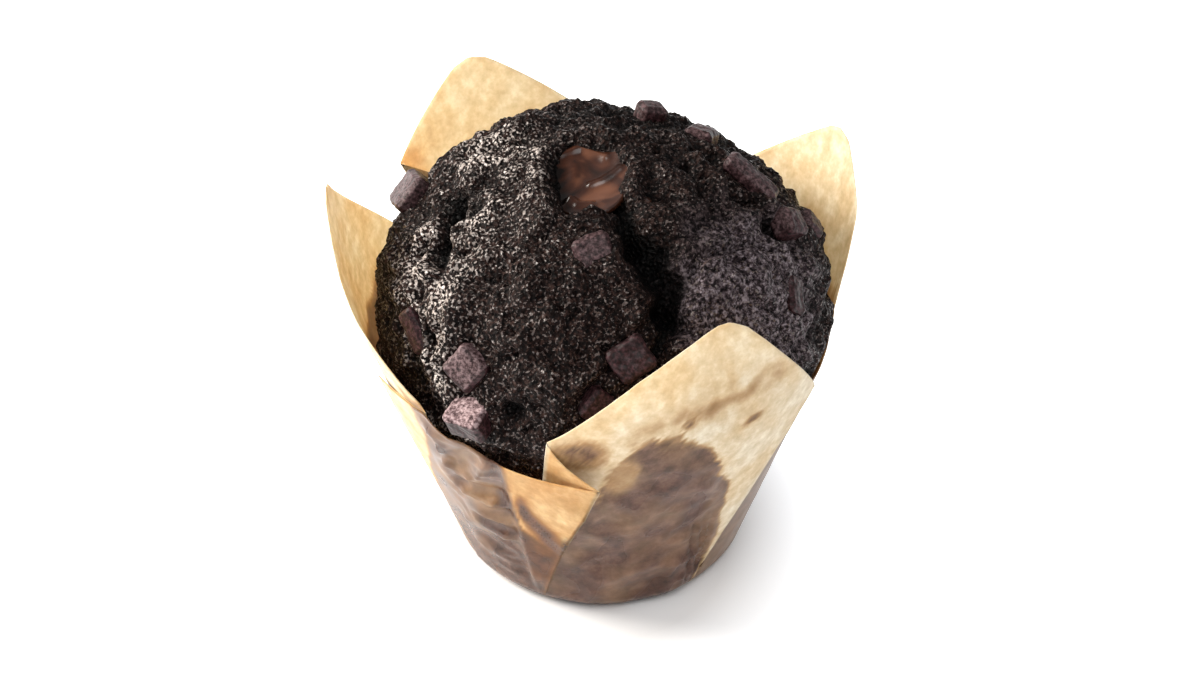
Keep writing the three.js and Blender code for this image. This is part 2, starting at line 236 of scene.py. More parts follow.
def flap_step(z):
    """How far the front flap stands off the wall where it is pressed flat, growing from the foot."""
    return FLAP_STEP * smooth_step(z, *FLAP_STEP_HEIGHTS)


def fold_lift(name, z, angle=None):
    """How far a fold stands off the wall at a height: FOOT_SHARE of its lift is reached smoothly at
    FOOT_HEIGHT and the rest at its top. The front flap's fold adds to its step in proportion to the
    height above its hinge, which is taken at the fold's own angle or at another."""
    _, _, height, lift = FOLDS[name.rstrip("+")]
    if name != "front_flap":
        foot = FOOT_SHARE * smooth_step(z, 0, FOOT_HEIGHT)
        return lift * (foot + (1 - FOOT_SHARE) * smooth_step(z, FOOT_HEIGHT, height))
    hinge = curve(fold_angle(name, z) if angle is None else angle, HINGE)
    return flap_step(z) + lift * np.clip((z - hinge) / FLAP_RISE, 0, 1)


def face_lift(first, last, first_start, last_start, s, angle, z):
    """How far a face stands off the wall. A flap's part falls off in a straight line from its fold to
    the angle where it starts. A hidden layer's falls off as the square of the way across, or in a
    straight line behind the front flap. The panel with the front flap stays pressed down as far as
    the flap's upright crease, steps out there, and then rises across the flap."""
    left, right = fold_angle(first, z), fold_angle(last, z)
    lift = np.zeros_like(z)
    if first_start is not None:
        lift += fold_lift(first, z) * np.clip((first_start - angle) / (first_start - left), 0, 1)
    if last_start is not None:
        lift += fold_lift(last, z) * np.clip((angle - last_start) / (right - last_start), 0, 1)
    if first == "front_flap":
        lift += (1 - s) * fold_lift(first, z)
    elif first_start is None and last_start is None:
        lift += (1 - s) ** 2 * fold_lift(first, z) + s**2 * fold_lift(last, z)
    if last == "front_flap":
        across = np.clip((angle - HINGE_ANGLE) / np.maximum(right - HINGE_ANGLE, 1), 0, 1)
        near = smooth_step(angle, HINGE_ANGLE - 3, HINGE_ANGLE)
        risen = (fold_lift(last, z, angle) - flap_step(z)) * across
        lift = np.minimum(lift, PRESSED_LIFT) + flap_step(z) * near + risen
    return lift


def sheet_face(first, last, first_start, last_start, edge):
    """Angle, height and lift of a face's points: columns s from 0 to 1 between two folds, and rows up
    the wall. At a height the angle is the mix of the two folds' angles by s. Each column ends where
    it meets the edge, a height found by going half way towards the edge many times."""
    degree = 2 * np.pi * cup_radius(RIM_HEIGHT) / 360
    width = abs(fold_angle(last, RIM_HEIGHT) - fold_angle(first, RIM_HEIGHT)) * degree
    s = np.linspace(0, 1, max(int(width / SHEET_STEP), NARROWEST))
    top = np.full_like(s, RIM_HEIGHT)
    for _ in range(40):
        angle = (1 - s) * fold_angle(first, top) + s * fold_angle(last, top)
        top = 0.5 * top + 0.5 * curve(angle, edge)
    quarter = CUP_CORNER * (1 - np.cos(np.linspace(0, np.pi / 2, CORNER_ROWS)))
    t = np.linspace(0, 1, int(WALL_SLANT / SHEET_STEP))[1:]
    wall = CUP_CORNER + t[:, None] * (top - CUP_CORNER)
    z = np.vstack([quarter[:, None] * np.ones_like(s), wall])
    angle = (1 - s) * fold_angle(first, z) + s * fold_angle(last, z)
    return angle, z, face_lift(first, last, first_start, last_start, s, angle, z)


def grid_faces(rows, columns, closed):
    """Quads of a grid of points numbered row by row, closed round its columns or not."""
    i = np.arange(rows - 1)[:, None] * columns
    j = np.arange(columns if closed else columns - 1)
    k = (j + 1) % columns
    return np.stack([i + j, i + k, i + columns + k, i + columns + j], -1).reshape(-1, 4)


def make_piece(name, points, faces, material, **values):
    """A mesh object from points in millimetres and faces, with one value per point in each named
    attribute, shaded smooth."""
    mesh = bpy.data.meshes.new(name)
    mesh.from_pydata((points * MM).tolist(), [], [f for part in faces for f in part.tolist()])
    mesh.polygons.foreach_set("use_smooth", np.ones(len(mesh.polygons), bool))
    for key, value in values.items():
        made = mesh.attributes.new(key, "FLOAT", "POINT")
        made.data.foreach_set("value", np.asarray(value, np.float32).ravel())
    mesh.materials.append(material)
    piece = bpy.data.objects.new(name, mesh)
    bpy.context.scene.collection.objects.link(piece)
    return piece


def linear(code):
    """An sRGB hex colour as linear RGBA."""
    c = np.array([int(code[i : i + 2], 16) for i in (1, 3, 5)]) / 255
    return (*np.where(c <= 0.04045, c / 12.92, ((c + 0.055) / 1.055) ** 2.4), 1)


def add_node(tree, kind, settings=None, **inputs):
    """Adds a shader node. settings are its properties, with a ramp's stops as (place, colour)
    pairs. inputs go to sockets by name, with _ for a space, or by _ and a number, as links, colours
    or plain values."""
    node = tree.nodes.new("ShaderNode" + kind)
    for key, value in (settings or {}).items():
        if key != "stops":
            setattr(node, key, value)
            continue
        ramp = node.color_ramp.elements
        while len(ramp) < len(value):
            ramp.new(0.5)
        for stop, (place, colour) in zip(ramp, value):
            stop.position = place
            stop.color = linear(colour)
    for key, value in inputs.items():
        socket = node.inputs[int(key[1:]) if key[1:].isdigit() else key.replace("_", " ")]
        if isinstance(value, bpy.types.NodeSocket):
            tree.links.new(value, socket)
        else:
            socket.default_value = linear(value) if isinstance(value, str) else value
    return node


def new_material(name):
    """An empty node material: its tree, its Principled shader and its Object coordinates."""
    material = bpy.data.materials.new(name)
    material.use_nodes = True
    tree = material.node_tree
    coordinates = add_node(tree, "TexCoord").outputs["Object"]
    return material, tree, tree.nodes["Principled BSDF"], coordinates


def parchment_material():
    """Unbleached baking parchment: matt, faintly cloudy where its fibres bunch about 2 mm apart,
    and a little translucent. Soaked with fat it turns dark, even and shiny. Its single fibres, about
    0.03 mm across, are drawn 0.5 mm across so that they show."""
    material, tree, shader, place = new_material("baking_parchment")
    soak = add_node(tree, "Attribute", {"attribute_name": "soak"}).outputs["Fac"]
    fibres = add_node(tree, "TexNoise", Vector=place, Scale=1 / (2.2 * MM), Detail=5.0,
                      Roughness=0.62)
    clouds = add_node(tree, "TexNoise", Vector=place, Scale=1 / (9 * MM), Detail=3.0)
    blotches = add_node(tree, "TexNoise", Vector=place, Scale=1 / (3 * MM), Detail=4.0,
                        Roughness=0.7)
    dry = add_node(tree, "ValToRGB", {"stops": [(0.3, "#c3af91"), (0.5, "#d5c2a7"),
                                               (0.72, "#e9dcc6")]}, Fac=fibres.outputs["Fac"])
    dry_clouds = add_node(tree, "ValToRGB", {"stops": [(0.35, "#efe1cd"), (0.65, "#ffffff")]},
                          Fac=clouds.outputs["Fac"])
    dry_paper = add_node(tree, "MixRGB", {"blend_type": "MULTIPLY"}, Fac=0.8,
                         Color1=dry.outputs["Color"], Color2=dry_clouds.outputs["Color"])
    warm = add_node(tree, "Attribute", {"attribute_name": "warm"}).outputs["Fac"]
    fat = add_node(tree, "ValToRGB", {"stops": [(0.3, "#3a2a23"), (0.5, "#553e35"),
                                               (0.7, "#6f5549")]}, Fac=blotches.outputs["Fac"])
    thin = add_node(tree, "MapRange", Value=soak, From_Max=0.5)
    oily = add_node(tree, "MixRGB", {"blend_type": "MULTIPLY"}, Fac=thin.outputs["Result"],
                    Color1=dry_paper.outputs["Color"], Color2="#dac5a6")
    thick = add_node(tree, "MapRange", Value=soak, From_Min=0.2)
    colour = add_node(tree, "MixRGB", Fac=thick.outputs["Result"], Color1=oily.outputs["Color"],
                      Color2=fat.outputs["Color"])
    # Painted light: warm light bounced from the cake and shining through the paper, multiplied in as
    # an orange tint.
    colour = add_node(tree, "MixRGB", {"blend_type": "MULTIPLY"}, Fac=warm,
                      Color1=colour.outputs["Color"], Color2="#e5bc86")
    tree.links.new(colour.outputs["Color"], shader.inputs["Base Color"])
    rough = add_node(tree, "MapRange", Value=soak, To_Min=0.6, To_Max=0.27)
    tree.links.new(rough.outputs["Result"], shader.inputs["Roughness"])
    grain = add_node(tree, "TexNoise", Vector=place, Scale=1 / (0.5 * MM), Detail=3.0)
    bump = add_node(tree, "Bump", Strength=0.25, Distance=0.06 * MM, Height=grain.outputs["Fac"])
    tree.links.new(bump.outputs["Normal"], shader.inputs["Normal"])
    gloss = add_node(tree, "Attribute", {"attribute_name": "gloss"}).outputs["Fac"]
    shine = add_node(tree, "MapRange", Value=gloss, To_Min=0.12, To_Max=0.5)
    tree.links.new(shine.outputs["Result"], shader.inputs["Specular IOR Level"])
    shader.inputs["Subsurface Weight"].default_value = 0.7
    shader.inputs["Subsurface Radius"].default_value = (1.0, 0.9, 0.75)
    shader.inputs["Subsurface Scale"].default_value = 1.0 * MM
    return material


def spot(turn, z, middle, size, fray=0):
    """A soft oval patch on the wall: a smooth bump of the angle times one of the height."""
    return smooth_bump(turn + fray, middle[0], size[0]) * smooth_bump(z + fray, middle[1], size[1])


def low_panel_soak(turn, z, points, fray):
    """The low front panel clings to the cake, so it is soaked from PANEL_LEFT on; it is darker
    towards the table and beside its flap, and less soaked in one patch. The flap is soaked only in a
    smear along its hinge, and the paper is painted paler along the flap's fold, a painted highlight
    where the fold's edge catches the light."""
    left = curve(z, PANEL_LEFT)
    clinging = smooth_step(turn + 0.5 * fray, left - 1.5, left + 1.5)
    shade = 0.86 + 0.2 * (1 - smooth_step(z + fray, 8, 26)) + 0.25 * noise(points, 4, 24)
    shade -= 0.3 * spot(turn, z, (236, 31), (6, 6))
    shade += 0.25 * smooth_bump(turn, 244, 3) * smooth_step(z, 20, 34)
    hinge = curve(turn, HINGE)
    beyond = smooth_step(turn, HINGE_ANGLE - 1.3, HINGE_ANGLE + 1.3)
    flap = beyond * smooth_step(z, hinge - 1, hinge + 1)
    smear = smooth_bump(z + 0.4 * fray, curve(turn, FLAP_SMEAR), 4.4)
    smear = smear * smooth_step(turn + 0.3 * fray, 247, 249)
    soak = flap * np.clip(1.2 * smear, 0, 1) + (1 - flap) * clinging * np.clip(shade, 0, 1)
    # Paler along the flap's fold: a painted highlight of the lit fold edge.
    return soak * (1 - 0.35 * smooth_bump(turn, fold_angle("front_flap", z), 1.3))


def front_petal_soak(turn, z, points, fray):
    """The front petal is soaked up to where the dome left it, less in one patch. Above that it has a
    greasy fold on the left, a faint band and two spots, and a paler line along a ridge, a painted
    highlight."""
    ragged = fray + 2.2 * noise(points, 1.6, 27)
    top, right = curve(turn, STAIN_TOP), curve(z, STAIN_RIGHT)
    stain = 1 - smooth_step(z + ragged, top - 1.5, top + 1.5)
    stain = stain * (1 - smooth_step(turn + 0.45 * ragged, right - 1, right + 1))
    stain = stain * np.clip(0.95 + 0.14 * noise(points * [1, 1, 0.6], 5, 28), 0.75, 1)
    patch = spot(turn, z, (274.8, 43), (4.2, 5.4), 0.4 * fray)
    stain = stain * (1 - 0.5 * smooth_step(patch, 0.15, 0.7))
    fold = spot(turn, z, (265.5, 49), (6.5, 3.4), 0.25 * fray)
    fold = fold * np.clip(0.9 + 0.5 * noise(points, 1.6, 25), 0.3, 1)
    band = smooth_bump(z + 0.4 * fray, curve(turn, GREASY_BAND), 3.0)
    band = band * smooth_step(turn, 270, 278) * (1 - smooth_step(turn, 313, 321))
    band = band * np.clip(0.8 + 0.6 * noise(points, 2.5, 26), 0.3, 1.2)
    slanting = 49.8 + 0.3 * (turn - 308)
    spots = spot(turn, z + 0.2 * fray, (290.3, 54), (1.5, 1.3))
    spots = spots + spot(turn, z + 0.2 * fray, (308, slanting), (2.4, 1.1))
    greasy = [np.clip(1.2 * fold, 0, 0.95), 0.42 * band, np.clip(spots, 0, 1)]
    # Painted highlight: a paler line up a lit ridge of the petal.
    ridge_highlight = smooth_bump(turn, 273, 0.5) * smooth_step(z, 46, 49) * (1 - smooth_step(z, 54, 57))
    return np.maximum.reduce([stain, *greasy]) * (1 - 0.8 * ridge_highlight)


def back_petal_soak(turn, z, points, fray):
    """The petals behind are soaked up to the cake's widest ring, with greasy streaks above it on the
    right."""
    ring = 1 - smooth_step(z + 1.4 * fray, 44, 50)
    streaks = 0.35 * np.clip(noise(points * [1, 1, 0.5], 9, 23) * 1.6, 0, 1)
    return np.maximum(0.85 * ring, streaks * smooth_bump(turn, 20, 22))


def fat_soak(turn, z, face, points):
    """How soaked the paper is, from 0 to 1, with every border frayed by two sizes of noise. The
    pleats' hidden layers are soaked at their foot alone."""
    fray = 3.5 * noise(points, 7, 21) + 1.5 * noise(points, 2.4, 22)
    faces = [face == 0, face == 2, face % 2 == 0]
    soaks = [part(turn, z, points, fray) for part in
             (low_panel_soak, front_petal_soak, back_petal_soak)]
    return np.select(faces, soaks, 0.9 * (1 - smooth_step(z, 34, 40)))


def crumple(points, sizes):
    """Creases of pressed paper: ridges of height share * (1 - |noise|)^2 for each cell and share."""
    return sum(share * (1 - np.abs(noise(points, cell, 31 + int(cell))).clip(0, 1)) ** 2
               for cell, share in sizes)


def wall_points(r, angle, z):
    """Points at radii, angles and heights."""
    return np.stack([r * np.cos(np.radians(angle)), r * np.sin(np.radians(angle)), z], -1)


def wrinkles(angle, z):
    """How far the pressed paper is pushed out: crumples on the low front panel, where it took the
    cake's lumps, finer ones on the soaked part of the front petal and faintly elsewhere, a slow wave
    towards the tips, and the creases, which turn as they near the table, pushed in."""
    turn = angle % 360
    plain = wall_points(cup_radius(z), angle, z)
    panel = smooth_step(z, 3, 20) * smooth_step(turn, 218, 228) * (1 - smooth_step(turn, 240, 246))
    soaked = smooth_step(z, 0, 5) * smooth_step(turn, 250, 272) * (1 - smooth_step(turn, 300, 312))
    soaked = 0.12 + soaked * (1 - 0.9 * smooth_step(z, 34, 50))
    push = panel * (crumple(plain * [1, 1, 1.6], [(11, 2.2), (6, 0.9)]) - 1.2)
    push += soaked * (crumple(plain, [(14, 0.9), (7, 0.55), (3, 0.2)]) - 0.5)
    push += 0.5 * smooth_step(z, 45, 60) * noise(plain, 26, 35)
    for start in CREASES:
        line = start + 4 * smooth_step(-z, -24, -4)
        crease = smooth_bump(turn, line, 0.8) * smooth_step(z, 2, 7) * (1 - smooth_step(z, 19, 27))
        push -= 0.6 * crease
    return push


def warm_light_by_face(turn, angle, z, face):
    """PAINTED_WARM_LIGHT of each face and of the front flap, and a warmer corner at the back left
    petal's fold: warm light bounced in and shining through the paper, painted into its colour.
    """
    warm = np.array(PAINTED_WARM_LIGHT)[face.astype(int)]
    warm = np.where((face == 0) & (angle > HINGE_ANGLE), FLAP_PAINTED_WARM_LIGHT, warm)
    corner = smooth_step(turn, 128, 140) * (1 - smooth_step(z, 59, 63))
    return np.where(face == 6, np.maximum(warm, 0.9 * corner), warm)


def tulip_cup():
    """The folded sheet as one grid: the faces side by side, with the floor's rings below. Two faces
    share the column at their fold, so each leaves out its last."""
    parts = []
    for number, borders in enumerate(FACES):
        face_grids = sheet_face(*borders)
        face_grids += (np.full_like(face_grids[0], number),)
        parts.append([grid[:, :-1] for grid in face_grids])
    sheet = [np.hstack(grids) for grids in zip(*parts)]
    rows, columns = sheet[0].shape
    angle, z, lift, face = (grid.ravel() for grid in sheet)
    turn = angle % 360
    points = wall_points(cup_radius(z) + lift + petal_lean(angle, z), angle, z)
    out = points * [1, 1, 0]
    push = wrinkles(angle, z)[:, None]
    points = points + push * out / np.linalg.norm(out, axis=1, keepdims=True)
    soak = fat_soak(turn, z, face, points)
    # Painted warm light for each face, as an attribute that tints its colour.
    warm = warm_light_by_face(turn, angle, z, face)
    gloss = np.where(face == 0, smooth_step(z, 8, 22) * (1 - smooth_step(angle, 240, 247)), 0)
    inward = np.linspace(0.1, 0.9, FLOOR_RINGS)[:, None, None]
    floor = (points[:columns] * inward).reshape(-1, 3)
    points = np.vstack([[[0, 0, 0]], floor, points])
    below = (1 + len(floor), 0)
    column = np.arange(columns)
    fan = np.stack([np.zeros(columns, int), 1 + np.roll(column, -1), 1 + column], -1)
    quads = 1 + grid_faces(rows + FLOOR_RINGS, columns, True)
    return make_piece(
        "parchment_cup", points, [fan, quads], parchment_material(),
        soak=np.pad(soak, below, constant_values=FLOOR_SOAK), warm=np.pad(warm, below),
        gloss=np.pad(gloss, below),
    )


cup = tulip_cup()
paper = cup.modifiers.new("paper", "SOLIDIFY")
paper.thickness = PAPER_THICKNESS * MM
paper.offset = 0
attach(cup, "root")
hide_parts("tulip_cup")

# ---------------------------------------------------------------- cake
# Dark cocoa crumb, baked as one piece. The dome rose, cracked into lobes and set as a crust that is
# moist and granular on the left and dry and pitted on the right.

DOME_CENTRE = np.array([0.9, 0.0, 49.0])
DOME_SIZE = np.array([39.0, 39.0, 32.5])
CAKE_GRID = 300  # points along each side of the square that is laid over the dome
CAKE_EDGE = -17  # latitude at which the cup's wall takes over
CAKE_GAP = 0.35  # between cake and paper
DRY = (320, 29)  # longitude and latitude of the dry lobe's middle
DRY_REACH = (17, 33)  # degrees from there at which it starts to turn moist, and is moist
# The crust's colour is darkened in its hollows and cracks, a painted shade.
HOLLOW_SHADE_DEPTH = 2.2  # below the smooth dome at which the crust is darkest

# The crater where the crown fell in: its middle as longitude and latitude, its half lengths along
# X, Y and Z, its depth, and how far its rim stands up.
CRATER = (240, 80)
CRATER_SIZE = [7.6, 10.0, 9.5]
CRATER_DEPTH = 4.2
CRATER_RIM = 0.7

# The crust's relief. Each swelling is a layer of noise: size, height and seed. Real crumb is about
# half as coarse as these grains, which are drawn large enough to show.
SWELLINGS = [(10, 1.2, 44), (5, 1.2, 45), (2.6, 0.5, 49)]
LUMP_SIZE = 4.2
LUMP_HEIGHT = 1.6
GRAIN_SIZE = 1.15
FINE_GRAIN_SIZE = 0.8
PIT_SPACING = 2.2
PIT_DEPTH = 1.1
DRY_PIT_SPACING = 4.6
DRY_PIT_DEPTH = 1.3

# The most that the crust stands off the smooth dome round a piece that sits in it: it laps up one
# chunk, and stays just below the smooth dome round the others.
LAPPED = {"chocolate_chunk_11": 1.0}
NOT_LAPPED = -0.3

# Where fat and sugar make the crust glint, and where pale specks are painted into its colour as
# painted glints of the lamps: longitudes and latitudes along the middle of a band.
SUGAR_GLINT_BAND = [(224, 3), (217, 14), (206, 36), (202, 52), (190, 64), (165, 60)]
SUGAR_GLINT_SPREAD = 8.5

# Inside the cup: heights of the cake's lower rings, how far they keep from the wall, and how much
# more room than CAKE_GAP the dome leaves the paper below its widest ring.
RING_HEIGHTS = (34, 24, 14, 4, 1.2)
RING_GAP = 0.8
LOWER_GAP = 0.5

# Broad lobes and hollows: longitude, latitude, height, spread.
LOBES = [
    (249, 40, 1.5, 24), (316, 38, 1.7, 13), (300, 22, -1.2, 9), (200, 26, 0.9, 12),
    (353, 47, 1.5, 9), (338, 24, -1.0, 8), (355, 24, 0.8, 9), (45, 48, -1.6, 20),
    (110, 36, 1.0, 18), (150, 52, 1.0, 12), (190, 52, -1.4, 8), (323, 60, 0.9, 9),
    (20, 22, -0.8, 10), (80, 20, -0.8, 10), (135, 22, -0.8, 10), (246, 7, -3.2, 4.5),
    (208, 17, -2.0, 5), (222, 30, 0.9, 8), (228, 4, 0.8, 7), (258, 4, 0.7, 8),
    (165, 29, 1.6, 7), (90, 62, -1.5, 14),
]

# Cracks in the crust: depth, half width and the points that the crack passes.
CRACKS = [
    (3.2, 1.7, [(272, 74), (280, 66), (282, 59)]),
    (5.0, 2.7, [(285, 57), (289, 52), (292, 46), (290, 39)]),
    (3.4, 2.2, [(290, 39), (288, 34), (282, 26)]),
    (2.4, 1.0, [(352, 69), (342, 66), (329, 62)]),
    (3.0, 1.5, [(14, 64), (353, 58), (346, 50), (346, 42), (345, 35)]),
    (4.4, 1.7, [(187, 49), (198, 45), (207, 38)]),
    (2.0, 1.0, [(196, 38), (202, 32), (213, 24), (222, 12)]),
    (1.8, 1.0, [(163, 52), (157, 57), (155, 63), (160, 70)]),
    (1.4, 0.8, [(240, 66), (256, 64), (267, 66), (275, 63)]),
    (1.5, 1.0, [(280, 35), (274, 31), (269, 22), (265, 16)]),
    (1.4, 0.9, [(303, 49), (316, 49), (331, 43), (336, 34)]),
    (1.8, 1.2, [(62, 48), (74, 38), (98, 42), (116, 28)]),
    (1.6, 1.2, [(20, 40), (34, 28), (52, 26)]),
    (1.6, 1.2, [(138, 62), (108, 66), (80, 58)]),
]


def direction(longitude, latitude):
    """Unit vectors of longitudes and latitudes in degrees."""
    a, b = np.radians(longitude), np.radians(latitude)
    return np.stack([np.cos(a) * np.cos(b), np.sin(a) * np.cos(b), np.sin(b)], -1)


def angle_between(u, v):
    """Degrees between unit vectors."""
    return np.degrees(np.arccos(np.clip(u @ v, -1, 1)))


def distance_to_path(points, path):
    """Least distance from each point to the straight stretches between a path's points."""
    least = np.full(len(points), 1e9)
    for a, b in zip(path[:-1], path[1:]):
        t = np.clip((points - a) @ (b - a) / ((b - a) @ (b - a)), 0, 1)
        least = np.minimum(least, np.linalg.norm(points - a - t[:, None] * (b - a), axis=1))
    return least


def cells(points, cell, seed):
    """Distance to the nearest of one random point in each cube of a lattice, in cells, and that
    point's random number."""
    rng = np.random.default_rng(seed)
    size = 32
    jitter = rng.random((size, size, size, 3))
    numbers = rng.random((size, size, size))
    q = points / cell
    low = np.floor(q).astype(int)
    least = np.full(len(points), 9.0)
    number = np.zeros(len(points))
    for step in np.ndindex(3, 3, 3):
        cube = low + step - 1
        at = cube % size
        away = np.linalg.norm(cube + jitter[at[:, 0], at[:, 1], at[:, 2]] - q, axis=1)
        number = np.where(away < least, numbers[at[:, 0], at[:, 1], at[:, 2]], number)
        least = np.minimum(least, away)
    return least, number


def dome(u):
    """Points of the smooth dome, an ellipsoid, in directions u, and its outward normals."""
    normals = u / DOME_SIZE
    return DOME_CENTRE + u * DOME_SIZE, normals / np.linalg.norm(normals, axis=1, keepdims=True)


def on_dome(path):
    """Points of the smooth dome at (longitude, latitude) pairs."""
    return dome(direction(*np.array(path, float).T))[0]


def square_to_disc(count):
    """Radius from 0 to 1 and angle of a square grid mapped to a disc, ring by ring."""
    side = np.linspace(-1, 1, count)
    x, y = (v.ravel() for v in np.meshgrid(side, side))
    flat = np.abs(x) > np.abs(y)
    r = np.where(flat, x, y)
    inner = np.divide(np.where(flat, y, x), r, out=np.zeros_like(r), where=r != 0)
    turn = np.where(flat, 45 * inner, 90 - 45 * inner)
    return np.abs(r), np.where(r < 0, turn + 180, turn)


def square_to_dome(count, edge):
    """Directions of a square grid laid over the dome. A ring's radius r becomes the latitude whose
    sine is 1 - r^2 (1 - sin edge), so areas stay equal."""
    r, turn = square_to_disc(count)
    return direction(turn, np.degrees(np.arcsin(1 - r**2 * (1 - np.sin(np.radians(edge))))))


def dryness(u, points):
    """1 on the dry right lobe, 0 on the moist crust, with a ragged border."""
    away = angle_between(u, direction(DRY[0], DRY[1])) + 7 * noise(points, 7, 50)
    return 1 - smooth_step(away, *DRY_REACH)


def dips(points, height, wander):
    """The height, held down to LAPPED or NOT_LAPPED round every piece that sits in the crust, as far
    out as about the piece's own box."""
    set_in = [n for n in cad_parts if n.startswith("chocolate_chunk") or n == "melted_drip"]
    for node in set_in:
        low, high = (np.array(corner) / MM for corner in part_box(node))
        away = np.linalg.norm((points - (low + high) / 2) / (high - low), axis=1)
        sunk = 1 - smooth_step(away + 0.05 * wander, 0.34, 0.54)
        height = height + sunk * (np.minimum(height, LAPPED.get(node, NOT_LAPPED)) - height)
    return height


def crust_height(u, points):
    """How far the crust stands off the smooth dome, and its dryness. The height is the sum of the
    lobes, the swellings, round lumps, cracks with a raised lip, whose depth falls off as a smooth
    bump of the distance from their line, round grains and pits. The dry lobe has one more swelling,
    more pits, and wider ones. The lumps, cracks, coarser grains and pits take their places from
    points shifted by noise, so that they look ragged."""
    wander = np.stack([noise(points, 5, 41), noise(points, 5, 42), noise(points, 5, 43)], -1)
    ragged = points + 1.5 * wander
    height = sum(h * smooth_bump(angle_between(u, direction(a, b)), 0, w) for a, b, h, w in LOBES)
    for size, rise, seed in SWELLINGS:
        height = height + rise * noise(points, size, seed)
    lump, _ = cells(ragged, LUMP_SIZE, 54)
    height = height + LUMP_HEIGHT * (0.5 - lump)
    for depth, width, path in CRACKS:
        away = distance_to_path(ragged, on_dome(path))
        lip = 0.4 * smooth_bump(away, 2.2 * width, 0.6 * width)
        height = height - depth * smooth_bump(away, 0, width) + lip
    dry = dryness(u, points)
    grain, number = cells(ragged, GRAIN_SIZE, 46)
    fine, _ = cells(points, FINE_GRAIN_SIZE, 47)
    round_grain = np.sqrt(np.clip(1 - (grain / 0.85) ** 2, 0, 1))
    height = height + (0.3 + 0.5 * number) * (round_grain - 0.6) + 0.45 * (0.5 - fine)
    pit, pick = cells(ragged, PIT_SPACING, 48)
    open_pits = np.where(pick < 0.2 + 0.35 * dry, 1, 0)
    height = height - PIT_DEPTH * open_pits * (1 - smooth_step(pit, 0.12, 0.42))
    hole, which = cells(ragged, DRY_PIT_SPACING, 57)
    height = height + dry * (0.7 * noise(points, 3.4, 56))
    wide_pits = np.where(which < 0.4, 1 - smooth_step(hole, 0.1, 0.34), 0)
    height = height - DRY_PIT_DEPTH * dry * wide_pits
    return dips(points, height, wander[:, 0]), dry


def crater_depth(points):
    """A bowl with a ragged, raised rim where the crown fell in over melted chocolate. The depth is
    full out to 0.6 of the half lengths and ends at 1."""
    across = (points - on_dome([CRATER])[0]) / CRATER_SIZE
    away = np.linalg.norm(across, axis=1) + 0.13 * noise(points, 4, 51)
    away = away + 0.06 * noise(points, 1.6, 52)
    bowl = CRATER_DEPTH * (1 - smooth_step(away, 0.6, 1.0))
    return bowl - CRATER_RIM * smooth_bump(away, 1.12, 0.12)


